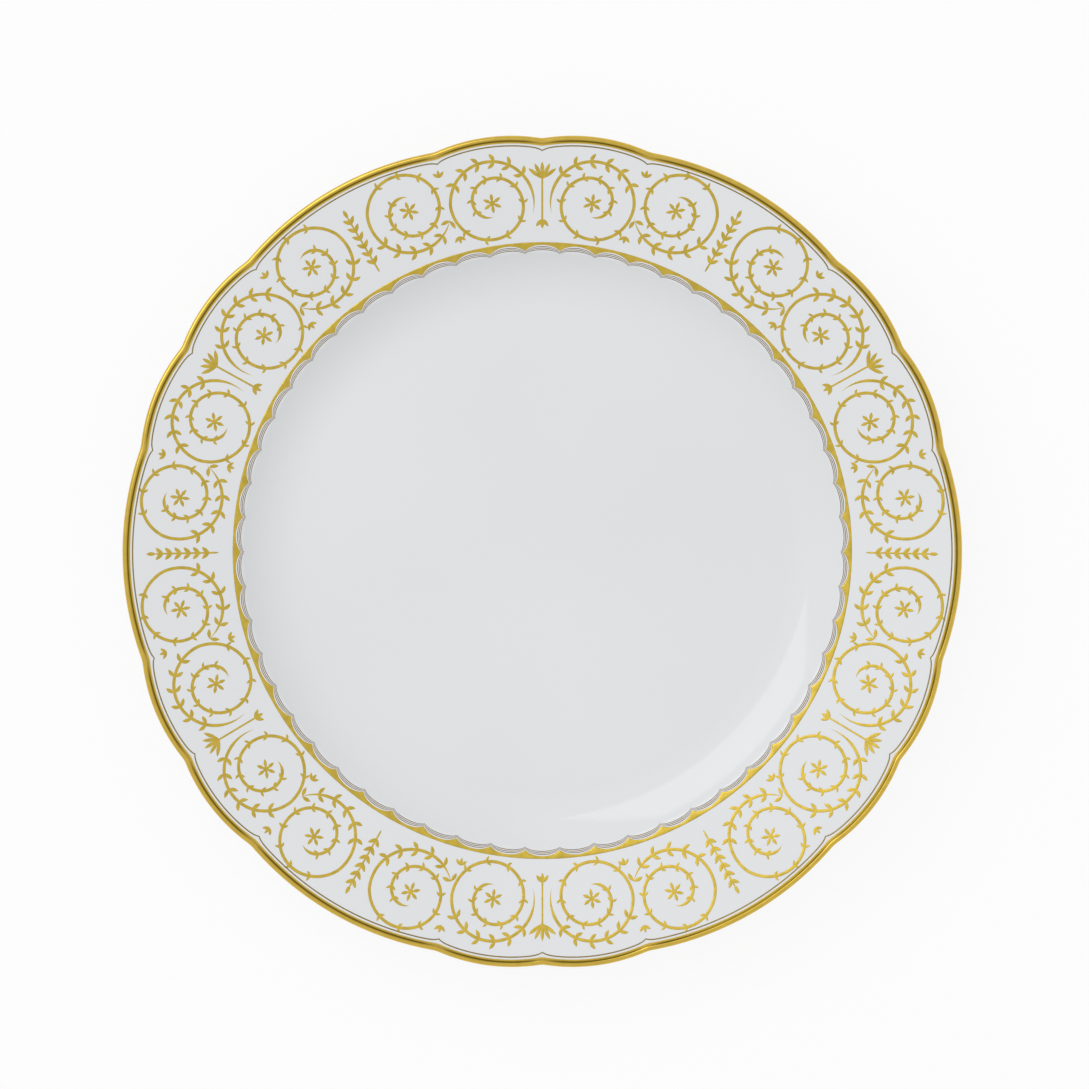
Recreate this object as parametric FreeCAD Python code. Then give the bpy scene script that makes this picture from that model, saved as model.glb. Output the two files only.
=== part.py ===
"""Bone-china dinner plate with a scalloped edge, a glaze coat and fired gilding.

The plate is one potted body.  Over it lies a glassy glaze that stops short of the foot, and
on the glaze lie the gold deposits: the burnished edge, a fine line inside it, the border on
the shoulder of the well and a plain scroll ornament on the rim.  Each deposit is its own thin
solid.  Millimetres, +Z up, origin at the centre of the foot ring's resting plane, and the
side of the first ornament panel on +Y.
"""

import FreeCAD
import Part

import math
import os

V = FreeCAD.Vector

# ---- driving dimensions -------------------------------------------------------------------
crest_radius = 135.0          # widest reach of the six long lobes
short_crest_radius = 134.85   # widest reach of the twelve short lobes
notch_radius = 133.4          # where two lobes would meet as a sharp corner
notch_round = 5.0             # radius that softens each notch
foot_height = 2.4             # foot ring, from the table to the underside of the floor
floor_thickness = 3.2
floor_radius = 79.0           # flat part of the well
well_curve = 26.0             # radius of the well's rising wall
well_slope = 42.0             # steepest slope of that wall, degrees
shoulder_curve = 3.5          # radius of the shoulder between well and rim
rim_slope = 14.0              # degrees
wall_thickness = 2.9          # under the well's wall
under_shoulder_curve = 6.0
under_rim_slope = 16.4        # steeper than the top, so that the rim thins towards its edge
bead_radius = 0.95            # round moulded bead that ends the rim
bead_proud = 0.35             # the bead's top above the rim beside it
foot_inner_radius = 75.6
foot_land_inner = 77.5
foot_land_outer = 79.1        # the flat land that the plate rests on
foot_outer_radius = 82.6
glaze = 0.20                  # thickness of the glaze coat
bare_foot = 0.8               # the foot is wiped clean of glaze up to this height
gold = 0.15                   # thickness of every gold deposit
smallest_solid = 0.02         # mm3; a sliver under this is left out
above = 60.0                  # height of a cutting prism, well over the rim

groups = 6                    # the outline repeats six times round the plate
long_lobe = 30.0              # degrees that a long lobe spans
short_lobe = 15.0             # degrees that a short lobe spans

edge_band = 2.9               # width of the edge gilding, in from the outline
hairline_inset = 3.15         # from the outline to the outer side of the fine line
hairline_width = 0.35
border_outer = 100.1          # the border on the shoulder of the well
border_count = 54             # scallops round the well
border_arch = 99.2            # inner side of the gold in the middle of a scallop
border_cusp = 97.2            # inner side of the gold between two scallops
verge_line_depths = (0.42, 0.92, 1.42)   # each fine line, in from the border
verge_line_width = 0.22
cusp_share = 0.45             # a line's cusps step in by this share of its depth

scroll_radius = 115.9         # middle of the rim's ornament
volute_radius = 13.4          # outer turn of each volute
volute_shift = 2.2            # a volute's centre lies this far to one side of the middle
volute_margin = 3.0           # from a panel's side to its first volute
volute_end = 4.4              # radius where a volute's winding stops
volute_turns = 1.25           # turns of the winding after the arch
stem_width = 1.0
stem_lead = 20.0              # degrees by which the stem starts before its half circle
stem_gap = 0.3                # between the stem and the branch that leaves it
point_sweep = 40.0            # degrees over which a ribbon narrows to its point
arc_span = 45.0               # degrees that each arc of a ribbon covers, at the most
leaf_length = 3.1
leaf_width = 1.2
leaf_lean = 40.0              # degrees between a leaf and its stem's normal
arch_leaves_each = 6
arch_leaf_step = 22.0         # degrees
rosette_radius = 3.2
rosette_eye = 0.9
rosette_petals = 6
axis_stem_width = 0.6
laurel_low = 104.5            # radius where the laurel sprig starts
laurel_high = 125.0
laurel_pairs = 6
fan_low = 107.0               # radius of the fan stem's foot
fan_root = 121.0              # radius where the fan's leaves spring
fan_leaves = 5
fan_step = 26.0               # degrees
fan_leaf_length = 5.6


def polar(radius, degrees, z=0.0):
    """Point at a radius and an angle; 90 degrees is +Y."""
    a = math.radians(degrees)
    return V(radius * math.cos(a), radius * math.sin(a), z)


def sin(degrees):
    return math.sin(math.radians(degrees))


def cos(degrees):
    return math.cos(math.radians(degrees))


def tan(degrees):
    return math.tan(math.radians(degrees))


# ---- the section of the plate -------------------------------------------------------------
floor_z = foot_height + floor_thickness
well_centre = V(floor_radius, 0, floor_z + well_curve)


def on_arc(centre, radius, slope, side):
    """Point of an arc where the surface has that slope; side 1 lies under the centre, -1 over it."""
    return V(centre.x + side * radius * sin(slope), 0, centre.z - side * radius * cos(slope))


wall_end = on_arc(well_centre, well_curve, well_slope, 1)
shoulder_centre = V(wall_end.x + shoulder_curve * sin(well_slope), 0,
                    wall_end.z - shoulder_curve * cos(well_slope))
rim_start = on_arc(shoulder_centre, shoulder_curve, rim_slope, -1)
under_slope = well_slope - 2.0
under_wall_end = on_arc(well_centre, well_curve + wall_thickness, under_slope, 1)
under_centre = V(under_wall_end.x + under_shoulder_curve * sin(under_slope), 0,
                 under_wall_end.z - under_shoulder_curve * cos(under_slope))


def rim_top(radius, grow=0.0):
    """Height of the rim's upper face, or of the face that lies grow above it."""
    return rim_start.z + (radius - rim_start.x) * tan(rim_slope) + grow / cos(rim_slope)


def under_foot_z(radius, grow=0.0):
    """Height of the underside's first curve, outside the foot ring."""
    reach = well_curve + wall_thickness + grow
    return well_centre.z - math.sqrt(reach ** 2 - (radius - well_centre.x) ** 2)


bead_z = rim_top(crest_radius - 2 * bead_radius) + bead_proud - bead_radius


def arc_edge(start, end, centre, radius):
    """Arc in the XZ plane between two points, bulging away from its centre."""
    middle = (start + end) * 0.5 - centre
    return Part.Arc(start, centre + middle.normalize() * radius, end).toShape()


def line_edge(start, end):
    return Part.LineSegment(start, end).toShape()


def top_edges(grow, outer_radius):
    """The upper side of the section, from the axis to the rim, raised by grow."""
    floor_end = V(floor_radius, 0, floor_z + grow)
    well = well_curve - grow
    shoulder = shoulder_curve + grow
    a = on_arc(well_centre, well, well_slope, 1)
    b = on_arc(shoulder_centre, shoulder, rim_slope, -1)
    end = V(outer_radius, 0, rim_top(outer_radius, grow))
    return [
        line_edge(V(0, 0, floor_z + grow), floor_end),
        arc_edge(floor_end, a, well_centre, well),
        arc_edge(a, b, shoulder_centre, shoulder),
        line_edge(b, end),
    ]


def under_edges(grow, outer_radius):
    """The lower side of the section, from the rim back to the axis, lowered by grow."""
    under = well_curve + wall_thickness + grow
    fillet = under_shoulder_curve - grow
    a = on_arc(under_centre, fillet, under_rim_slope, -1)
    b = on_arc(well_centre, under, under_slope, 1)
    start = V(outer_radius, 0, a.z + (outer_radius - a.x) * tan(under_rim_slope))
    flank_out = V(foot_outer_radius + grow, 0, under_foot_z(foot_outer_radius + grow, grow))
    land_out = V(foot_land_outer + grow, 0, 0)
    land_in = V(foot_land_inner - grow, 0, 0)
    flank_in = V(foot_inner_radius - grow, 0, foot_height - grow)
    return [
        line_edge(start, a),
        arc_edge(a, b, under_centre, fillet),
        arc_edge(b, flank_out, well_centre, under),
        line_edge(flank_out, land_out),
        line_edge(land_out, land_in),
        line_edge(land_in, flank_in),
        line_edge(flank_in, V(0, 0, foot_height - grow)),
    ]


def revolve(edges):
    """Solid of revolution about Z from a closed chain of edges in the XZ plane."""
    wire = Part.Wire(Part.__sortEdges__(edges))
    return Part.Face(wire).revolve(V(0, 0, 0), V(0, 0, 1), 360)


# ---- the scalloped outline ----------------------------------------------------------------
def lobe_circle(crest, corner, span):
    """Distance of a lobe's centre from the axis and its radius: it passes the crest and both corners."""
    half_chord = corner * sin(span / 2)
    rise = crest - corner * cos(span / 2)
    radius = (half_chord ** 2 + rise ** 2) / (2 * rise)
    return crest - radius, radius


def lobe_list():
    """(middle angle, centre distance, radius) of every lobe, going round from +Y."""
    long_centre, long_radius = lobe_circle(crest_radius, notch_radius, long_lobe)
    short_centre, short_radius = lobe_circle(short_crest_radius, notch_radius, short_lobe)
    lobes = []
    for group in range(groups):
        axis = 90 + group * 360 / groups
        lobes.append((axis + short_lobe / 2, short_centre, short_radius))
        lobes.append((axis + short_lobe + long_lobe / 2, long_centre, long_radius))
        lobes.append((axis + 1.5 * short_lobe + long_lobe, short_centre, short_radius))
    return lobes


def outline(inset, z):
    """Closed wire of tangent arcs: the plate's outline, moved inwards by inset."""
    circles = [(polar(c, a, z), r) for a, c, r in lobe_list()]
    count = len(circles)
    notches = []
    for i in range(count):
        c1, r1 = circles[i]
        c2, r2 = circles[(i + 1) % count]
        d = c2 - c1
        along = (d.Length ** 2 + (r1 + notch_round) ** 2 - (r2 + notch_round) ** 2) / (2 * d.Length)
        aside = math.sqrt((r1 + notch_round) ** 2 - along ** 2)
        unit = V(d.x, d.y, 0).normalize()
        outward = V(unit.y, -unit.x, 0)
        notches.append(c1 + unit * along + outward * aside)
    edges = []
    for i in range(count):
        centre, radius = circles[i]
        ends = []
        for notch in (notches[i - 1], notches[i]):
            ends.append(centre + (notch - centre).normalize() * (radius - inset))
        crest = centre + V(centre.x, centre.y, 0).normalize() * (radius - inset)
        edges.append(Part.Arc(ends[0], crest, ends[1]).toShape())
        next_centre, next_radius = circles[(i + 1) % count]
        start = ends[1]
        end = next_centre + (notches[i] - next_centre).normalize() * (next_radius - inset)
        low = notches[i] + ((start + end) * 0.5 - notches[i]).normalize() * (notch_round + inset)
        edges.append(Part.Arc(start, low, end).toShape())
    return Part.Wire(edges)


def prism(wire, low, high):
    """Solid between two heights with that outline."""
    face = Part.Face(wire)
    face.translate(V(0, 0, low - face.BoundBox.ZMin))
    return face.extrude(V(0, 0, high - low))


def bead(tube_radius):
    """Solid ring of round section that follows the outline, made of torus pieces."""
    spine = outline(bead_radius, bead_z)
    start = spine.Edges[0].valueAt(spine.Edges[0].FirstParameter)
    tangent = spine.Edges[0].tangentAt(spine.Edges[0].FirstParameter)
    section = Part.Wire(Part.makeCircle(tube_radius, start, tangent))
    return spine.makePipeShell([section], True, False)


def plate(grow):
    """The whole plate with every glazed face moved outwards by grow."""
    wide = crest_radius + 5.0
    top = top_edges(grow, wide)
    under = under_edges(grow, wide)
    top_end = V(wide, 0, rim_top(wide, grow))
    edge = line_edge(top_end, under[0].Vertexes[0].Point)
    axis = line_edge(V(0, 0, foot_height - grow), V(0, 0, floor_z + grow))
    blank = revolve(top + [edge] + under + [axis])
    inside = prism(outline(bead_radius, 0), -5.0, bead_z + 20.0)
    return blank.common(inside).fuse(bead(bead_radius + grow))


# ---- gold ornament ------------------------------------------------------------------------
# A plain running scroll, worked out from the sizes above.  Half a panel holds two round
# volutes: the stem arches over the outer side of the first, a branch leaves it where the two
# circles touch, and that branch arches under the inner side of the second.  The mirror image
# completes the panel, and the panel repeats round the rim.


def place(degrees, radius):
    """Point of the rim, counted clockwise from the first panel's side, which lies on +Y."""
    return polar(radius, 90 - degrees)


def heading(vector):
    return math.degrees(math.atan2(vector.y, vector.x))


first_reach = scroll_radius - volute_shift
second_reach = scroll_radius + volute_shift
first_axis = math.degrees((volute_margin + volute_radius) / scroll_radius)
touching = first_reach ** 2 + second_reach ** 2 - 4 * volute_radius ** 2
axis_step = math.degrees(math.acos(touching / (2 * first_reach * second_reach)))
first_centre = place(first_axis, first_reach)
second_centre = place(first_axis + axis_step, second_reach)
stem_course = heading(second_centre - first_centre)
branch_clear = math.degrees(math.acos(1 - (stem_width / 2 + stem_gap) / (2 * volute_radius)))


def arc_chain(points):
    """Arcs through an odd number of points, each arc through three of them."""
    return [Part.Arc(*points[i:i + 3]).toShape() for i in range(0, len(points) - 2, 2)]


def coil(centre, start, turn, arch):
    """Ribbon, pointed at both ends, that arches round a centre and then winds in towards it."""
    sweep = arch + 360 * volute_turns
    steps = 2 * math.ceil(sweep / arc_span)
    outer = []
    inner = []
    for i in range(steps + 1):
        swept = sweep * i / steps
        wound = max(0.0, swept - arch) / (sweep - arch)
        radius = volute_radius + (volute_end - volute_radius) * wound
        half = stem_width / 2 * min(1.0, swept / point_sweep, (sweep - swept) / point_sweep)
        outer.append(centre + polar(radius + half, start + turn * swept))
        inner.append(centre + polar(radius - half, start + turn * swept))
    return Part.Face(Part.Wire(Part.__sortEdges__(arc_chain(outer) + arc_chain(inner))))


def leaf(root, direction, length):
    """Flat lens-shaped leaf."""
    tip = root + polar(length, direction)
    side = polar(leaf_width / 2, direction + 90)
    middle = (root + tip) * 0.5
    edges = [Part.Arc(root, middle + side, tip).toShape(), Part.Arc(tip, middle - side, root).toShape()]
    return Part.Face(Part.Wire(edges))


def arch_leaves(centre, apex, turn):
    """Leaves on both sides of an arch, leaning the way the stem runs."""
    faces = []
    for number in range(arch_leaves_each):
        direction = apex + (number - (arch_leaves_each - 1) / 2) * arch_leaf_step
        root = centre + polar(volute_radius, direction)
        faces.append(leaf(root, direction + turn * leaf_lean, leaf_length))
        faces.append(leaf(root, direction + 180 - turn * leaf_lean, leaf_length))
    return faces


def scroll_faces():
    over = 180 + stem_lead
    faces = [coil(first_centre, stem_course + over, -1, over)]
    faces.append(coil(second_centre, stem_course + 180 + branch_clear, 1, 180 - branch_clear))
    faces.extend(arch_leaves(first_centre, heading(first_centre), -1))
    faces.extend(arch_leaves(second_centre, heading(second_centre) + 180, 1))
    return faces


def rosette_faces(centre):
    faces = [Part.Face(Part.Wire(Part.makeCircle(rosette_eye, centre)))]
    for number in range(rosette_petals):
        direction = heading(centre) + number * 360 / rosette_petals
        root = centre + polar(rosette_eye / 2, direction)
        faces.append(leaf(root, direction, rosette_radius - rosette_eye / 2))
    return faces


def axis_stem(low, high):
    """Straight stem on the +Y axis between two radii."""
    half = axis_stem_width / 2
    corners = [V(-half, low, 0), V(half, low, 0), V(half, high, 0), V(-half, high, 0), V(-half, low, 0)]
    return Part.Face(Part.makePolygon(corners))


def laurel_faces():
    """Upright sprig on +Y: a stem, pairs of leaves and a leaf at its tip."""
    faces = [axis_stem(laurel_low, laurel_high)]
    for number in range(laurel_pairs):
        root = V(0, laurel_low + (number + 1) * (laurel_high - laurel_low) / (laurel_pairs + 1), 0)
        faces.append(leaf(root, 90 - leaf_lean, leaf_length))
        faces.append(leaf(root, 90 + leaf_lean, leaf_length))
    faces.append(leaf(V(0, laurel_high - axis_stem_width, 0), 90, leaf_length))
    return faces


def fan_faces():
    """Fan of leaves on +Y that opens outwards, with a stem and three small leaves at its foot."""
    faces = [axis_stem(fan_low, fan_root)]
    for number in range(fan_leaves):
        direction = 90 + (number - (fan_leaves - 1) / 2) * fan_step
        faces.append(leaf(V(0, fan_root - axis_stem_width, 0), direction, fan_leaf_length))
    for direction in (-90 - leaf_lean, -90, -90 + leaf_lean):
        faces.append(leaf(V(0, fan_low + axis_stem_width, 0), direction, leaf_length))
    return faces


# ---- pieces -------------------------------------------------------------------------------

def gold_coat(face):
    """The gold over a flat face: a skin of even thickness on the rim and the shoulder."""
    return face.extrude(V(0, 0, above)).common(skin)


def gold_ring(outer, inner):
    """The gold between two closed wires."""
    ring = Part.Face(outer).extrude(V(0, 0, above)).cut(Part.Face(inner).extrude(V(0, 0, above)))
    return ring.common(skin)


def skin_blank():
    """Thin solid of revolution that lies on the glaze from the well's wall to the bead."""
    wide = crest_radius + 5.0
    low = top_edges(0.0, wide)
    high = top_edges(gold, wide)
    ends = [line_edge(V(0, 0, floor_z), V(0, 0, floor_z + gold)),
            line_edge(V(wide, 0, rim_top(wide, 0.0)), V(wide, 0, rim_top(wide, gold)))]
    return revolve(low + high + ends)


def one_shape(faces):
    """Flat faces joined where they overlap: what is left of a sheet once the rest is cut away."""
    sheet = Part.Face(Part.Wire(Part.makeCircle(crest_radius + 10)))
    return sheet.cut(sheet.cut(faces))


def turned(shape, degrees):
    copy = shape.copy()
    copy.rotate(V(0, 0, 0), V(0, 0, 1), degrees)
    return copy


def with_mirror_image(half):
    """The shape and its mirror image about the middle of the first panel."""
    image = turned(half.mirror(V(0, 0, 0), V(1, 0, 0)), -360 / groups)
    return Part.makeCompound(half.Solids + image.Solids)


def scallop_edge(depth):
    """Closed wire of the border's inner side: an arch for each scallop, meeting in cusps."""
    step = 360 / border_count
    edges = []
    for i in range(border_count):
        axis = 90 + i * step
        a = polar(border_cusp - depth * cusp_share, axis - step / 2)
        b = polar(border_cusp - depth * cusp_share, axis + step / 2)
        edges.append(Part.Arc(a, polar(border_arch - depth, axis), b).toShape())
    return Part.Wire(edges)


def save(name, shape):
    solids = [solid for solid in shape.Solids if solid.Volume > smallest_solid]
    if not solids:
        raise ValueError(name + " is empty")
    whole = solids[0] if len(solids) == 1 else Part.makeCompound(solids)
    box = whole.BoundBox
    print(name, "solids", len(solids), "valid", whole.isValid(), "volume", round(whole.Volume, 1),
          "z", round(box.ZMin, 2), round(box.ZMax, 2))
    whole.exportStep("parts/" + name + ".step")


os.makedirs("parts", exist_ok=True)

fired = plate(0)
foot_slab = Part.makeCylinder(foot_outer_radius + 5, bare_foot + 5, V(0, 0, -5))
glaze_shell = fired.cut(plate(-glaze)).cut(foot_slab)
edge_cut = prism(outline(edge_band, 0), -5.0, above)
gilt_edge = plate(gold).cut(fired).cut(edge_cut)
save("china_body", fired.cut(glaze_shell))
save("glaze_coat", glaze_shell)
save("gilt_edge", gilt_edge)

skin = skin_blank()
save("gilt_hairline", gold_ring(outline(hairline_inset, 0), outline(hairline_inset + hairline_width, 0)))
save("verge_band", gold_ring(Part.Wire(Part.makeCircle(border_outer)), scallop_edge(0.0)))
for number, depth in enumerate(verge_line_depths):
    line = gold_ring(scallop_edge(depth), scallop_edge(depth + verge_line_width))
    save("verge_line_" + str(number + 1), line)

panel = 360 / groups
half_scroll = gold_coat(one_shape(scroll_faces()))
scroll = with_mirror_image(half_scroll)
half_rosettes = gold_coat(one_shape(rosette_faces(first_centre) + rosette_faces(second_centre)))
rosettes = with_mirror_image(half_rosettes)
laurel = turned(gold_coat(one_shape(laurel_faces())), -panel / 2)
fan = gold_coat(one_shape(fan_faces()))
for number in range(groups):
    save("scroll_" + str(number + 1), turned(scroll, -number * panel))
    save("rosettes_" + str(number + 1), turned(rosettes, -number * panel))
    save("laurel_sprig_" + str(number + 1), turned(laurel, -number * panel))
    save("leaf_fan_" + str(number + 1), turned(fan, -number * panel))
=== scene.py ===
# A bone-china dinner plate: smooth glazed body, gilt scalloped edge, gold border and scroll ornament.
# Lengths are in millimetres inside the functions and are turned into metres when a mesh is made.
import math

import bmesh
import bpy
import numpy as np
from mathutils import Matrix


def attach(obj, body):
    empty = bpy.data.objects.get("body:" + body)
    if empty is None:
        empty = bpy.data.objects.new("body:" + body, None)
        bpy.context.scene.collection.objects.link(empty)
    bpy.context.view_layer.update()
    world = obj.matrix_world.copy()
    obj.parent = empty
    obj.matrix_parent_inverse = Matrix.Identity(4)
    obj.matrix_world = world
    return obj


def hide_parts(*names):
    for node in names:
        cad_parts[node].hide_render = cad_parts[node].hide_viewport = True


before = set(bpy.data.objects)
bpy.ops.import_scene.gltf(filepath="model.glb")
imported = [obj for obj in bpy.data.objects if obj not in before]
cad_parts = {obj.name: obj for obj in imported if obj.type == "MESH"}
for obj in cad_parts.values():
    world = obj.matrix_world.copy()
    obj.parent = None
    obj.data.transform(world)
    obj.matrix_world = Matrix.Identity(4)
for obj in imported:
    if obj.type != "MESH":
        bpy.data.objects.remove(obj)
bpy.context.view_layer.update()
print("frame loaded")

mm = 0.001

# Shape of the plate
plateShape = {
    "crest": 135.0,            # widest reach of the long lobes
    "shortCrest": 134.85,      # widest reach of the short lobes
    "corner": 133.4,           # where two lobes would meet
    "notchSoft": 0.11,         # how softly two lobes run into each other
    "longLobe": 30.0,          # degrees
    "shortLobe": 15.0,
    "group": 60.0,             # degrees after which the outline repeats
    "floorRadius": 79.0,
    "floorZ": 5.6,
    "wellCurve": 26.0,
    "wellSlope": 42.0,
    "shoulderCurve": 3.5,
    "rimSlope": 14.0,
    "beadRadius": 0.95,
    "beadProud": 0.35,
    "footZ": 2.4,
    "thickness": 2.9,
    "underSlope": 16.4,
    "underShoulder": 6.0,
    "around": 1440,            # steps round the plate
}
s = plateShape
wallEndR = s["floorRadius"] + s["wellCurve"] * math.sin(math.radians(s["wellSlope"]))
wallEndZ = s["floorZ"] + s["wellCurve"] * (1 - math.cos(math.radians(s["wellSlope"])))
shoulderR = wallEndR + s["shoulderCurve"] * math.sin(math.radians(s["wellSlope"]))
shoulderZ = wallEndZ - s["shoulderCurve"] * math.cos(math.radians(s["wellSlope"]))
rimStartR = shoulderR - s["shoulderCurve"] * math.sin(math.radians(s["rimSlope"]))
rimStartZ = shoulderZ + s["shoulderCurve"] * math.cos(math.radians(s["rimSlope"]))


def topZ(r):
    # height of the upper face: flat floor, arc of the wall, arc of the shoulder, then the straight rim
    wall = s["floorZ"] + s["wellCurve"] - np.sqrt(
        np.maximum(s["wellCurve"] ** 2 - np.maximum(r - s["floorRadius"], 0) ** 2, 0))
    shoulder = shoulderZ + np.sqrt(np.maximum(s["shoulderCurve"] ** 2 - (r - shoulderR) ** 2, 0))
    rim = rimStartZ + (r - rimStartR) * math.tan(math.radians(s["rimSlope"]))
    return np.where(r < wallEndR, wall, np.where(r < rimStartR, shoulder, rim))


beadZ = float(topZ(np.array(s["crest"] - 2 * s["beadRadius"]))) + s["beadProud"] - s["beadRadius"]


def lobeCircle(crest, span):
    # centre distance and radius of a lobe that passes its crest and both corners
    half = math.radians(span / 2)
    halfChord = s["corner"] * math.sin(half)
    rise = crest - s["corner"] * math.cos(half)
    radius = (halfChord ** 2 + rise ** 2) / (2 * rise)
    return crest - radius, radius


def outlineRadius(angle):
    # reach of the scalloped edge at an angle from +Y: the farthest of the lobe arcs, softened at each notch
    a = np.degrees(angle) % s["group"]
    long = lobeCircle(s["crest"], s["longLobe"])
    short = lobeCircle(s["shortCrest"], s["shortLobe"])
    half = s["shortLobe"] / 2
    lobes = ((half, short), (s["group"] / 2, long), (s["group"] - half, short),
             (-half, short), (s["group"] + half, short))
    reaches = []
    for middle, (centre, radius) in lobes:
        d = np.radians(a - middle)
        reach = centre * np.cos(d) + np.sqrt(np.maximum(radius ** 2 - (centre * np.sin(d)) ** 2, 0))
        reaches.append(reach)
    soft = s["notchSoft"]
    stack = np.stack(reaches)
    high = stack.max(axis=0)
    return high + soft * np.log(np.exp((stack - high) / soft).sum(axis=0))


def notchDistance(turn):
    # degrees from each angle to the nearest notch
    notches = np.array([0, s["shortLobe"], s["group"] - s["shortLobe"], s["group"]])
    return np.min(np.abs((np.degrees(turn) % s["group"])[None, :] - notches[:, None]), axis=0)


def toMesh(name, vertices, faces, material, marks=None):
    # marks are numbers kept on the vertices for the material, by name
    mesh = bpy.data.meshes.new(name)
    mesh.from_pydata((vertices * mm).tolist(), [], faces.tolist())
    for key, values in (marks or {}).items():
        mark = mesh.attributes.new(key, "FLOAT", "POINT")
        mark.data.foreach_set("value", np.asarray(values, dtype=float))
    bm = bmesh.new()
    bm.from_mesh(mesh)
    bmesh.ops.remove_doubles(bm, verts=bm.verts, dist=2e-7)
    bmesh.ops.dissolve_degenerate(bm, edges=bm.edges, dist=1e-8)
    bmesh.ops.recalc_face_normals(bm, faces=bm.faces)
    bm.to_mesh(mesh)
    bm.free()
    mesh.polygons.foreach_set("use_smooth", [True] * len(mesh.polygons))
    piece = bpy.data.objects.new(name, mesh)
    bpy.context.scene.collection.objects.link(piece)
    mesh.materials.append(material)
    return piece


def gridFaces(rows, columns, wrapColumns=False, start=0):
    # quads of a rows x columns grid, wrapped round its columns where asked
    i = np.arange(rows - 1)[:, None]
    j = np.arange(columns if wrapColumns else columns - 1)[None, :]
    k = (j + 1) % columns
    here = i * columns
    there = (i + 1) * columns
    quads = np.stack([here + j, here + k, there + k, there + j], axis=-1)
    return quads.reshape(-1, 4) + start


# Shader helpers
class Wire:
    # a shader socket that takes + and *
    def __init__(self, graph, socket):
        self.graph = graph
        self.socket = socket

    def math(self, kind, other):
        return self.graph.add("ShaderNodeMath", {"operation": kind}, {0: self, 1: other})

    def __add__(self, other):
        return self.math("ADD", other)

    def __mul__(self, other):
        return self.math("MULTIPLY", other)


class Graph:
    def __init__(self, name):
        self.material = bpy.data.materials.new(name)
        self.material.use_nodes = True
        self.tree = self.material.node_tree
        self.shader = self.tree.nodes["Principled BSDF"]
        self.output = self.tree.nodes["Material Output"]

    def add(self, kind, settings=None, values=None, out=0):
        node = self.tree.nodes.new(kind)
        for key, value in (settings or {}).items():
            if key == "stops":
                ramp = node.color_ramp.elements
                ramp[0].position, ramp[0].color = value[0]
                ramp[1].position, ramp[1].color = value[-1]
                for position, color in value[1:-1]:
                    ramp.new(position).color = color
            else:
                setattr(node, key, value)
        for key, value in (values or {}).items():
            if isinstance(value, Wire):
                self.tree.links.new(value.socket, node.inputs[key])
            else:
                node.inputs[key].default_value = value
        return Wire(self, node.outputs[out])

    def place(self):
        return self.add("ShaderNodeTexCoord", out="Object")

    def noise(self, scale, detail=3.0, rough=0.5):
        return self.add("ShaderNodeTexNoise", {}, {"Vector": self.place(), "Scale": scale, "Detail": detail,
                                                   "Roughness": rough})

    def ramp(self, wire, stops):
        return self.add("ShaderNodeValToRGB", {"stops": stops}, {"Fac": wire})

    def bump(self, height, strength, distance):
        values = {"Height": height, "Strength": strength, "Distance": distance}
        return self.add("ShaderNodeBump", {}, values)

    def set(self, **sockets):
        for key, value in sockets.items():
            socket = self.shader.inputs[key.replace("_", " ")]
            if isinstance(value, Wire):
                self.tree.links.new(value.socket, socket)
            else:
                socket.default_value = value


def grey(v):
    return (v, v, v, 1.0)


# Materials
glazeLook = {"color": (0.80, 0.815, 0.83), "tone": 0.012, "roughness": 0.10, "waves": 0.00006}


def makeGlaze(name, look):
    g = Graph(name)
    base = np.array(look["color"])
    cloud = g.noise(9.0, 2.0)
    low = tuple(base - look["tone"]) + (1.0,)
    high = tuple(base + look["tone"]) + (1.0,)
    ripple = g.noise(22.0, 1.0)
    grain = g.noise(260.0, 2.0)
    g.set(Base_Color=g.ramp(cloud, [(0.3, low), (0.7, high)]),
          Roughness=grain * 0.05 + (look["roughness"] - 0.025),
          Normal=g.bump(ripple, 0.35, look["waves"]),
          IOR=1.5)
    return g.material


goldLook = {
    "edge": {"color": (0.72, 0.50, 0.09), "roughness": 0.17},
    # darker gold painted on the bead's inner flank: a painted dark reflection
    "groove": {"color": (0.13, 0.085, 0.002)},
    "print": {"color": (0.66, 0.48, 0.075), "roughness": 0.33},
    "fine": {"color": (0.30, 0.22, 0.07), "roughness": 0.38},
    "line": {"color": (0.20, 0.11, 0.012), "roughness": 0.45},
}


def makeGold(name, look, wear=0.06, groove=None):
    # the last argument is a darker gold, a painted dark reflection, shown where the vertices' mark for it
    # is high
    g = Graph(name)
    base = np.array(look["color"])
    patch = g.noise(420.0, 3.0)
    speck = g.noise(2600.0, 2.0)
    low = tuple(base * (1 - wear)) + (1.0,)
    high = tuple(np.minimum(base * (1 + wear), 1.0)) + (1.0,)
    color = g.ramp(patch, [(0.3, low), (0.7, high)])
    # mixes in the painted dark reflection where the vertices' mark for it is high
    if groove:
        mark = g.add("ShaderNodeAttribute", {"attribute_name": "groove"}, out="Fac")
        mix = {"data_type": "RGBA", "blend_type": "MIX"}
        color = g.add("ShaderNodeMix", mix, {0: mark, 6: color, 7: tuple(groove) + (1.0,)}, out=2)
    g.set(Base_Color=color,
          Metallic=1.0,
          Roughness=speck * 0.14 + (look["roughness"] - 0.07),
          Normal=g.bump(speck, 0.25, 0.00004))
    return g.material


def makeBareChina():
    g = Graph("bareChina")
    pores = g.noise(900.0, 4.0)
    g.set(Base_Color=g.ramp(pores, [(0.3, (0.74, 0.73, 0.69, 1)), (0.7, (0.82, 0.81, 0.77, 1))]),
          Roughness=pores * 0.15 + 0.62,
          Normal=g.bump(pores, 0.3, 0.00005))
    return g.material


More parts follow.
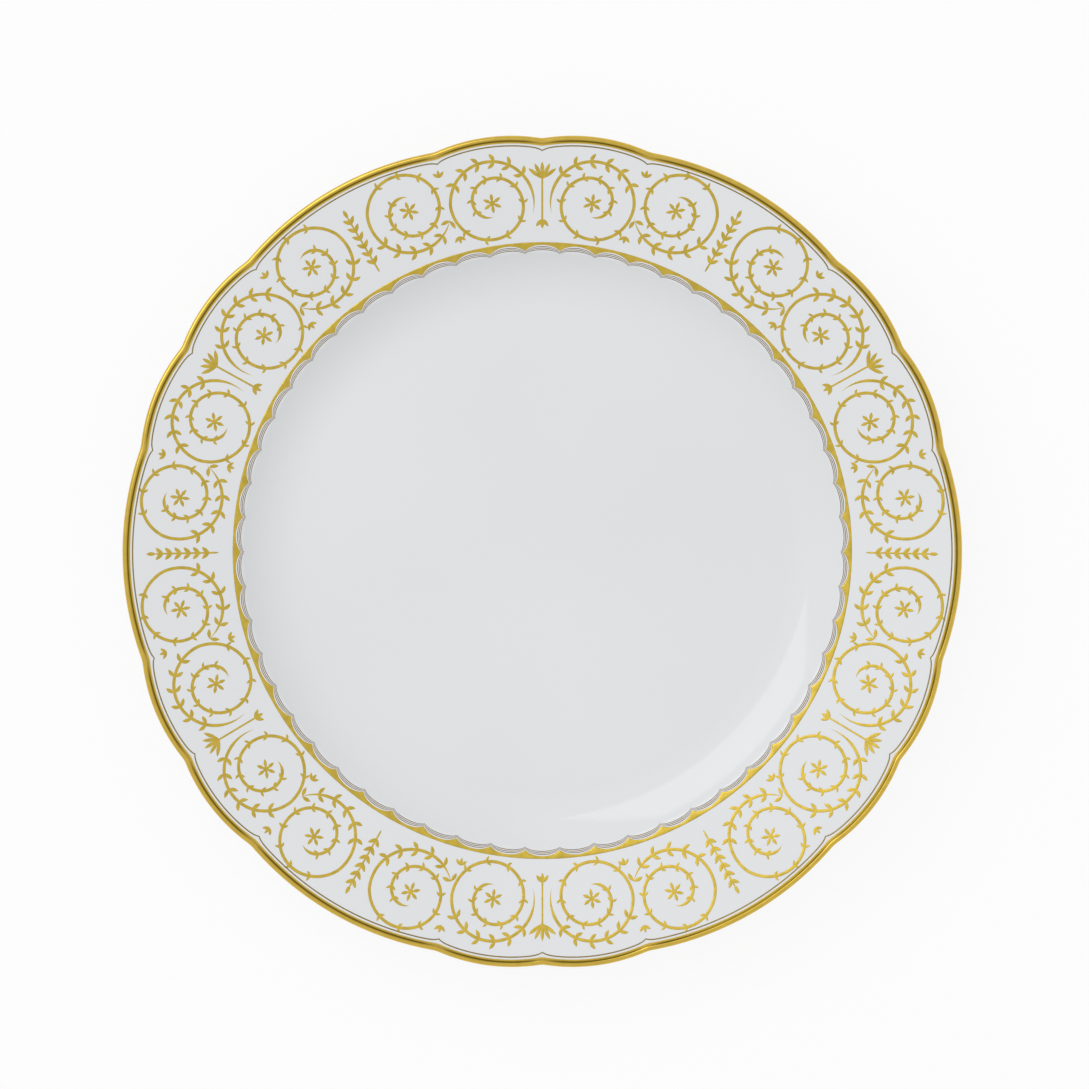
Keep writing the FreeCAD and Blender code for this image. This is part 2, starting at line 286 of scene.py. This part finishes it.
glaze = makeGlaze("whiteGlaze", glazeLook)
# burnished gold edge, with a painted dark reflection mixed in along the bead's inner flank
edgeGold = makeGold("burnishedGold", goldLook["edge"], 0.06, goldLook["groove"]["color"])
printGold = makeGold("satinGold", goldLook["print"], 0.12)
fineGold = makeGold("fineGold", goldLook["fine"], 0.12)
lineGold = makeGold("brownGold", goldLook["line"], 0.10)
bareChina = makeBareChina()
print("materials made")


# Plate body
def sectionGrid(lift=0.0, upperInset=None, lowerInset=None):
    # The section carried round the plate.  Rows follow it from the floor's middle over the rim and the
    # bead, back under the rim to the foot and in to the middle; columns go round.  Every row near the
    # edge keeps its distance from the outline, so the bead follows the lobes.  lift moves it all out.
    turn = np.linspace(0, 2 * np.pi, s["around"], endpoint=False)
    edge = outlineRadius(turn)[None, :]
    b = s["beadRadius"]
    tan = math.tan(math.radians(s["rimSlope"]))
    rows = []
    inner = upperInset is None
    if inner:
        # floor and wall: circles
        r = np.concatenate([np.linspace(0, 76, 24), np.linspace(77, 84, 15), np.linspace(84.4, 96.2, 40),
                            np.linspace(96.4, 98.4, 26), np.linspace(98.8, 126, 30)])[:, None]
        r = r + 0 * edge
        rows.append(np.stack([r, topZ(r) + lift], axis=-1))
    # outer rim: from a circle to rows parallel to the outline
    start = 6.6 if inner else upperInset
    inset = np.linspace(start, 2 * b + 0.02, 14 if inner else 10)[:, None]
    r = edge - inset
    rows.append(np.stack([r, topZ(r) + lift], axis=-1))
    # bead, from where it rises out of the rim, over its crest, to underneath
    middle = edge - b
    across = np.radians(np.linspace(152, -80, 34))[:, None]
    r = middle + (b + lift) * np.cos(across)
    z = beadZ + (b + lift) * np.sin(across)
    plain = topZ(np.minimum(r, edge - b)) + lift
    lower = np.sin(across) > 0
    soft = 0.06
    z = np.where((r < middle + 0.2) & lower, soft * np.logaddexp(z / soft, plain / soft), z)
    rows.append(np.stack([r, z], axis=-1))
    # underside of the rim, back to the foot
    underTan = math.tan(math.radians(s["underSlope"]))
    under = s["wellCurve"] + s["thickness"]
    steep = math.radians(s["wellSlope"] - 2)
    flat = math.radians(s["underSlope"])
    centreZ = s["floorZ"] + s["wellCurve"]
    jointR = s["floorRadius"] + under * math.sin(steep)
    jointZ = centreZ - under * math.cos(steep)
    filletR = jointR + s["underShoulder"] * math.sin(steep)
    filletZ = jointZ - s["underShoulder"] * math.cos(steep)
    startR = filletR - s["underShoulder"] * math.sin(flat)
    startZ = filletZ + s["underShoulder"] * math.cos(flat)
    last = lowerInset if lowerInset is not None else 7.4
    inset = np.linspace(b + 0.05, last, 12)[:, None]
    r = edge - inset
    rows.append(np.stack([r, startZ + (r - startR) * underTan - lift], axis=-1))
    if lowerInset is None:
        r = np.linspace(125, startR + 0.01, 24)[:, None] + 0 * edge
        rows.append(np.stack([r, startZ + (r - startR) * underTan - lift], axis=-1))
        slope = np.linspace(flat, steep, 8)[:, None]
        r = filletR - s["underShoulder"] * np.sin(slope) + 0 * edge
        rows.append(np.stack([r, filletZ + s["underShoulder"] * np.cos(slope) + 0 * edge], axis=-1))
        reach = np.linspace(jointR - 0.3, 82.7, 22)[:, None] + 0 * edge
        wallZ = centreZ - np.sqrt(under ** 2 - (reach - s["floorRadius"]) ** 2)
        rows.append(np.stack([reach, wallZ], axis=-1))
        f = s["footZ"]
        foot = np.array([[82.2, 2.35], [80.6, 1.3], [79.8, 0.8], [79.5, 0.75], [79.2, 0.7], [77.4, 0.7],
                         [77.1, 0.75], [76.9, 0.8], [76.2, 1.65], [75.7, 2.25], [75.0, f], [60.0, f],
                         [40.0, f], [20.0, f], [0.0, f]])[:, None, :]
        rows.append(foot + 0 * edge[:, :, None])
    section = np.concatenate(rows, axis=0)
    return section, turn


def aroundPoints(section, turn):
    # (radius, height) at every turn made into x, y, z, with the turn counted from +Y
    x = section[..., 0] * np.sin(turn)[None, :]
    y = section[..., 0] * np.cos(turn)[None, :]
    return np.stack([x, y, section[..., 1]], axis=-1)


def makeBody():
    section, turn = sectionGrid()
    points = aroundPoints(section, turn)
    rows, columns = points.shape[:2]
    body = toMesh("glazedPlate", points.reshape(-1, 3), gridFaces(rows, columns, True), glaze)
    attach(body, "root")
    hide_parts("glaze_coat")


makeBody()
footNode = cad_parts["china_body"]
for slotOfNode in footNode.material_slots:
    slotOfNode.material = bareChina
print("body made")

# Gilding of the edge
edgeGilding = {
    "band": 2.45,
    "thickness": 0.06,
    "lineInset": 3.0,
    "lineWidth": 0.42,
    "groove": 1.68,            # from the outline to the painted dark reflection on the bead's inner flank
    # width of the painted dark reflection
    "paintedDarkReflectionWidth": 0.34,
    "depth": 0.05,             # how far a gold's underside lies in the glaze
    "cusp": 0.75,              # how far the fine line dips at a notch
}


def closedBand(name, top, bottom, material, node, groove=None):
    # outer surface over the glaze and its return just under the glaze, joined into a closed skin
    rows = np.concatenate([top, bottom[::-1]], axis=0)
    rows = np.concatenate([rows, rows[:1]], axis=0)
    # an optional vertex mark that says where the painted dark reflection lies on the gilt edge
    marks = None
    if groove is not None:
        marks = {"groove": np.concatenate([groove, 0 * groove, groove[:1]], axis=0).reshape(-1)}
    faces = gridFaces(rows.shape[0], rows.shape[1], True)
    piece = toMesh(name, rows.reshape(-1, 3), faces, material, marks)
    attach(piece, "root")
    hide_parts(node)


def makeEdge():
    e = edgeGilding
    outer, turn = sectionGrid(e["thickness"], e["band"], 2.2)
    inner, turn = sectionGrid(-e["depth"], e["band"], 2.2)
    # the painted dark reflection on the bead is darkest in the middle of the lobes and fades at the notches
    inset = outlineRadius(turn)[None, :] - outer[..., 0]
    depth = 1 - 0.75 * np.exp(-(notchDistance(turn) / 1.6) ** 2)
    upper = outer[..., 1] > beadZ
    # strength of the painted dark reflection at each vertex, only on the bead's upper half
    groove = np.exp(-((inset - e["groove"]) / e["paintedDarkReflectionWidth"]) ** 2) * depth[None, :] * upper
    top = aroundPoints(outer, turn)
    low = aroundPoints(inner, turn)
    closedBand("giltEdge", top, low, edgeGold, "gilt_edge", groove)


def ringBand(name, radii, material, node, rise=0.05):
    # a gold ring between two outlines: rows go across it, slightly domed
    turn = np.linspace(0, 2 * np.pi, radii.shape[1], endpoint=False)
    across = np.linspace(0, 1, 7)[:, None]
    r = radii[0][None, :] * (1 - across) + radii[1][None, :] * across
    dome = rise * np.sqrt(np.maximum(1 - (2 * across - 1) ** 4, 0))
    top = aroundPoints(np.stack([r, topZ(r) + dome], axis=-1), turn)
    low = aroundPoints(np.stack([r, topZ(r) - edgeGilding["depth"]], axis=-1), turn)
    closedBand(name, top, low, material, node)


def makeHairline():
    e = edgeGilding
    turn = np.linspace(0, 2 * np.pi, 2 * s["around"], endpoint=False)
    cusp = e["cusp"] * np.exp(-notchDistance(turn) / 0.55)
    outer = outlineRadius(turn) - e["lineInset"] - cusp
    radii = np.stack([outer, outer - e["lineWidth"]])
    ringBand("giltHairline", radii, fineGold, "gilt_hairline")


makeEdge()
makeHairline()
print("edge gilded")

# Border on the shoulder
border = {
    "outer": 100.1,
    "count": 54,
    "arch": 99.2,
    "cusp": 97.2,
    "cuspShare": 0.45,         # a line's cusps step in by this share of its depth
    "lineDepths": (0.42, 0.92, 1.42),
    "lineWidth": 0.22,
    "roundness": 0.93,         # share of a half circle that each arch shows
}


def scallop(turn, depth):
    # inner side of the border: a circular arch for each scallop, with a cusp between two
    step = 2 * np.pi / border["count"]
    t = ((turn + step / 2) % step) / step * 2 - 1
    fall = border["arch"] - border["cusp"] - depth * (1 - border["cuspShare"])
    shown = border["roundness"]
    drop = (1 - np.sqrt(1 - (shown * t) ** 2)) / (1 - math.sqrt(1 - shown ** 2))
    return border["arch"] - depth - fall * drop


def makeBorder():
    turn = np.linspace(0, 2 * np.pi, border["count"] * 48, endpoint=False)
    outer = np.full_like(turn, border["outer"])
    ringBand("vergeBand", np.stack([outer, scallop(turn, 0.0)]), printGold, "verge_band")
    for number, depth in enumerate(border["lineDepths"]):
        high = scallop(turn, depth)
        low = scallop(turn, depth + border["lineWidth"])
        ringBand("vergeLine" + str(number + 1), np.stack([high, low]), lineGold,
                 "verge_line_" + str(number + 1), 0.03)


makeBorder()
print("border made")

# Rim ornament
# A running scroll of plain geometry. Half a panel holds two round volutes: the stem arches over
# the first, a branch leaves it where the two circles touch and arches under the second, and the
# mirror image completes the panel. Directions are degrees, counted anticlockwise from +X.
gildedRim = {"dome": 0.022, "sink": 0.04, "across": 7}
rimScroll = {
    "panels": 6,
    "radius": 115.9,          # middle of the ornament
    "volute": 13.4,           # outer turn of a volute
    "shift": 2.2,             # a volute's centre lies this far to one side of the middle
    "margin": 3.0,            # from a panel's side to its first volute
    "end": 4.4,               # where the winding stops
    "turns": 1.25,
    "stem": 1.0,
    "lead": 20.0,             # degrees by which the stem starts before its half circle
    "gap": 0.3,               # between the stem and the branch
    "point": 40.0,            # degrees over which a ribbon narrows to its point
    "lean": 40.0,             # degrees between a leaf and its stem's normal
}
leafLook = {
    "length": 3.1,
    "width": 1.2,
    "onArch": 6,              # leaves on each side of an arch
    "archStep": 22.0,
    "smaller": 0.66,          # share of the size, for leaves on the winding
    "windingStep": 34.0,
}


def onRim(degrees, radius):
    # place on the rim, counted clockwise from +Y
    a = math.radians(degrees)
    return np.array([radius * math.sin(a), radius * math.cos(a)])


def toward(direction, length):
    a = np.radians(direction)
    return np.stack([length * np.cos(a), length * np.sin(a)], axis=-1)


def heading(step):
    return math.degrees(math.atan2(step[1], step[0]))


class Gold:
    # gathers gold shapes as grids and turns them into one mesh
    def __init__(self):
        self.vertices = []
        self.faces = []
        self.count = 0

    def strip(self, middle, half):
        # ribbon: an oval section, domed above the glaze and sunk below it, carried along the middle line
        along = np.gradient(middle, axis=0)
        along = along / np.maximum(np.linalg.norm(along, axis=1, keepdims=True), 1e-9)
        side = np.stack([-along[:, 1], along[:, 0]], axis=1)
        v = np.linspace(0, 2 * np.pi, 2 * (gildedRim["across"] - 1), endpoint=False)
        flat = side[:, None, :] * (half[:, None] * np.cos(v)[None, :])[..., None] + middle[:, None, :]
        r = np.linalg.norm(flat, axis=-1)
        over = gildedRim["dome"] * np.abs(np.sin(v)) ** 0.6
        lift = np.where(np.sin(v) >= 0, over, gildedRim["sink"] * np.sin(v))
        z = topZ(r) + lift[None, :] * np.minimum(1, half[:, None] / 0.15)
        self.addGrid(np.concatenate([flat, z[..., None]], axis=-1))

    def addGrid(self, grid):
        rows, columns = grid.shape[:2]
        self.vertices.append(grid.reshape(-1, 3))
        self.faces.append(gridFaces(rows, columns, True, self.count))
        self.count += rows * columns

    def disc(self, centre, radius):
        # a short ribbon whose width is a circle's chord
        t = np.linspace(-1, 1, 13) * np.pi / 2
        line = centre[None, :] + np.stack([radius * np.sin(t), 0 * t], axis=1)
        self.strip(line, radius * np.cos(t))

    def leaf(self, root, direction, size=1.0, bow=0.05):
        # lens leaf: its half width is a sine from root to tip, and its middle line bows to one side
        t = np.linspace(0, 1, 11)
        length = leafLook["length"] * size
        aside = toward(direction + 90, length * bow * np.sin(np.pi * t))
        line = root + toward(direction, length * t) + aside
        self.strip(line, leafLook["width"] * size / 2 * np.sin(np.pi * t) ** 0.8)

    def stem(self, start, end, width):
        t = np.linspace(0, 1, 30)[:, None]
        ends = np.minimum(1, np.minimum(t, 1 - t)[:, 0] / 0.04)
        self.strip(start * (1 - t) + end * t, width / 2 * np.sqrt(ends))


def coil(gold, centre, start, turn, arch):
    # round arch, then a winding whose radius falls evenly with the angle; leaves sit along both
    k = rimScroll
    sweep = arch + 360 * k["turns"]

    def reach(swept):
        return k["volute"] + (k["end"] - k["volute"]) * np.maximum(0, swept - arch) / (sweep - arch)

    swept = np.linspace(0, sweep, int(sweep / 1.5))
    half = k["stem"] / 2 * np.minimum(1, np.minimum(swept, sweep - swept) / k["point"])
    gold.strip(centre + toward(start + turn * swept, reach(swept)), half)
    for place in np.arange(arch + k["point"], sweep - k["point"], leafLook["windingStep"]):
        direction = start + turn * place
        root = centre + toward(direction, float(reach(place)))
        gold.leaf(root, direction + turn * k["lean"], leafLook["smaller"])
        gold.leaf(root, direction + 180 - turn * k["lean"], leafLook["smaller"])


def archLeaves(gold, centre, apex, turn):
    # leaves on both sides of an arch, leaning the way the stem runs
    for number in range(leafLook["onArch"]):
        direction = apex + (number - (leafLook["onArch"] - 1) / 2) * leafLook["archStep"]
        root = centre + toward(direction, rimScroll["volute"])
        gold.leaf(root, direction + turn * rimScroll["lean"], 1.0, -0.05 * turn)
        gold.leaf(root, direction + 180 - turn * rimScroll["lean"], 1.0, 0.05 * turn)


def trefoil(gold, root, direction):
    for spread in (-46.0, 0.0, 46.0):
        gold.leaf(root, direction + spread, 0.8, 0.0)


def voluteCentres():
    # the two circles touch: the triangle of both centres and the axis gives the angle between them
    k = rimScroll
    near, far = k["radius"] - k["shift"], k["radius"] + k["shift"]
    first = math.degrees((k["margin"] + k["volute"]) / k["radius"])
    step = math.degrees(math.acos((near ** 2 + far ** 2 - 4 * k["volute"] ** 2) / (2 * near * far)))
    return onRim(first, near), onRim(first + step, far), first + step / 2


firstCentre, secondCentre, touchDegrees = voluteCentres()


def halfScroll():
    k = rimScroll
    gold = Gold()
    course = heading(secondCentre - firstCentre)
    clear = math.degrees(math.acos(1 - (k["stem"] / 2 + k["gap"]) / (2 * k["volute"])))
    coil(gold, firstCentre, course + 180 + k["lead"], -1, 180 + k["lead"])
    coil(gold, secondCentre, course + 180 + clear, 1, 180 - clear)
    archLeaves(gold, firstCentre, heading(firstCentre), -1)
    archLeaves(gold, secondCentre, heading(secondCentre) + 180, 1)
    trefoil(gold, onRim(touchDegrees + 0.6, 125.2), 90 - touchDegrees)
    trefoil(gold, onRim(touchDegrees, 105.4), 270 - touchDegrees)
    return gold


rosetteLook = {"radius": 3.2, "eye": 0.9, "petals": 6}


def halfRosettes():
    k = rosetteLook
    gold = Gold()
    size = (k["radius"] - k["eye"] / 2) / leafLook["length"]
    for centre in (firstCentre, secondCentre):
        gold.disc(centre, k["eye"])
        for number in range(k["petals"]):
            direction = heading(centre) + number * 360 / k["petals"]
            gold.leaf(centre + toward(direction, k["eye"] / 2), direction, size, 0.0)
    return gold


axisLook = {
    "stem": 0.6,
    "laurelLow": 104.5,
    "laurelHigh": 125.0,
    "laurelPairs": 6,
    "fanLow": 107.0,
    "fanRoot": 121.0,
    "fanLeaves": 5,
    "fanStep": 26.0,
    "fanLeaf": 5.6,
}


def laurelGold():
    # upright sprig on +Y: a stem, pairs of leaves and a leaf at its tip
    k = axisLook
    gold = Gold()
    gold.stem(np.array([0, k["laurelLow"]]), np.array([0, k["laurelHigh"]]), k["stem"])
    for number in range(k["laurelPairs"]):
        share = (number + 1) / (k["laurelPairs"] + 1)
        root = np.array([0, k["laurelLow"] * (1 - share) + k["laurelHigh"] * share])
        gold.leaf(root, 90 - rimScroll["lean"], 1.0, 0.06)
        gold.leaf(root, 90 + rimScroll["lean"], 1.0, -0.06)
    gold.leaf(np.array([0, k["laurelHigh"] - k["stem"]]), 90, 1.0, 0.0)
    return gold


def fanGold():
    # fan of leaves on +Y that opens outwards, with a stem and three small leaves at its foot
    k = axisLook
    gold = Gold()
    gold.stem(np.array([0, k["fanLow"]]), np.array([0, k["fanRoot"]]), k["stem"])
    for number in range(k["fanLeaves"]):
        direction = 90 + (number - (k["fanLeaves"] - 1) / 2) * k["fanStep"]
        root = np.array([0, k["fanRoot"] - k["stem"]])
        t = np.linspace(0, 1, 17)
        width = leafLook["width"] / 2 * np.sin(np.pi * t ** 1.3) ** 0.8
        gold.strip(root + toward(direction, k["fanLeaf"] * t), width)
    for spread in (-rimScroll["lean"], 0.0, rimScroll["lean"]):
        gold.leaf(np.array([0, k["fanLow"] + k["stem"]]), 270 + spread, 1.0, 0.0)
    return gold


def mirroredPanel(vertices):
    # mirror image about the middle of the first panel: (x, y) reflected in the line at that angle
    a = 2 * math.radians(90 - 180 / rimScroll["panels"])
    x, y, z = vertices.T
    c, d = math.cos(a), math.sin(a)
    return np.stack([x * c + y * d, x * d - y * c, z], axis=1)


def placeGold(name, gold, turnDegrees, mirror, node):
    # a copy of a gathered shape, turned clockwise and where asked joined by its mirror image
    v = np.concatenate(gold.vertices)
    f = np.concatenate(gold.faces)
    if mirror:
        f = np.concatenate([f, f[:, ::-1] + len(v)])
        v = np.concatenate([v, mirroredPanel(v)])
    a = math.radians(turnDegrees)
    c, d = math.cos(a), math.sin(a)
    turned = np.stack([v[:, 0] * c + v[:, 1] * d, -v[:, 0] * d + v[:, 1] * c, v[:, 2]], axis=1)
    piece = toMesh(name, turned, f, printGold)
    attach(piece, "root")
    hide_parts(node)


def makeOrnament():
    shapes = (("scroll", halfScroll(), True, 0), ("rosettes", halfRosettes(), True, 0),
              ("laurel_sprig", laurelGold(), False, 0.5), ("leaf_fan", fanGold(), False, 0))
    panel = 360 / rimScroll["panels"]
    for number in range(rimScroll["panels"]):
        for node, gold, mirror, along in shapes:
            name = node.replace("_s", "S").replace("_f", "F") + str(number + 1)
            placeGold(name, gold, (number + along) * panel, mirror, node + "_" + str(number + 1))


makeOrnament()
print("rim ornament made")

# Floor, lights and camera
studio = {
    "floorWhite": 0.92,
    "whiteShare": 0.86,        # how much of the floor the camera sees as plain white
    "keyPower": 10.5,
    "keySize": 1.6,
    "keyPlace": (-1.05, 0.95, 1.5),
    "worldStrength": 0.77,
    "distance": 1.60,
    "tilt": 5.0,               # degrees from straight above, towards +Y
    "aim": (0.00071, 0.0029, 0.018),
    "fieldWidth": 0.3510,      # width that the view takes in at the rim
}


def makeFloor():
    size = 3.0
    low = -0.0002                          # just under the foot, so that the two never flicker
    mesh = bpy.data.meshes.new("floor")
    corners = [(-size, -size, low), (size, -size, low), (size, size, low), (-size, size, low)]
    mesh.from_pydata(corners, [], [(0, 1, 2, 3)])
    floor = bpy.data.objects.new("floor", mesh)
    bpy.context.scene.collection.objects.link(floor)
    g = Graph("paleFloor")
    g.set(Base_Color=grey(studio["floorWhite"]), Roughness=0.9)
    camera = g.add("ShaderNodeLightPath")
    rays = camera.socket.node.outputs
    glossy = Wire(g, rays["Is Glossy Ray"])
    through = Wire(g, rays["Is Transmission Ray"])
    seen = camera.math("MAXIMUM", glossy.math("MAXIMUM", through))
    white = g.add("ShaderNodeEmission", {}, {"Color": grey(1.0), "Strength": 1.0})
    mix = g.add("ShaderNodeMixShader", {}, {0: seen * studio["whiteShare"],
                                            1: Wire(g, g.shader.outputs[0]), 2: white})
    g.tree.links.new(mix.socket, g.output.inputs["Surface"])
    mesh.materials.append(g.material)


def makeLights():
    world = bpy.data.worlds.new("studio")
    bpy.context.scene.world = world
    world.use_nodes = True
    world.node_tree.nodes["Background"].inputs["Color"].default_value = grey(1.0)
    world.node_tree.nodes["Background"].inputs["Strength"].default_value = studio["worldStrength"]
    lamp = bpy.data.lights.new("key", "AREA")
    lamp.energy = studio["keyPower"]
    lamp.size = studio["keySize"]
    key = bpy.data.objects.new("key", lamp)
    x, y, z = studio["keyPlace"]
    key.location = (x, y, z)
    away = math.atan2(math.hypot(x, y), z)
    key.rotation_euler = (away, 0, math.atan2(y, x) + math.pi / 2)
    bpy.context.scene.collection.objects.link(key)


def makeCamera():
    camera = bpy.data.cameras.new("camera")
    view = bpy.data.objects.new("camera", camera)
    tilt = math.radians(studio["tilt"])
    aim = np.array(studio["aim"])
    view.location = tuple(aim + studio["distance"] * np.array([0, math.sin(tilt), math.cos(tilt)]))
    view.rotation_euler = (-tilt, 0, 0)
    camera.lens = camera.sensor_width * studio["distance"] / studio["fieldWidth"]
    camera.clip_end = 20
    bpy.context.scene.collection.objects.link(view)
    bpy.context.scene.camera = view


makeFloor()
makeLights()
makeCamera()
bpy.context.scene.view_settings.view_transform = "Standard"
print("studio made")

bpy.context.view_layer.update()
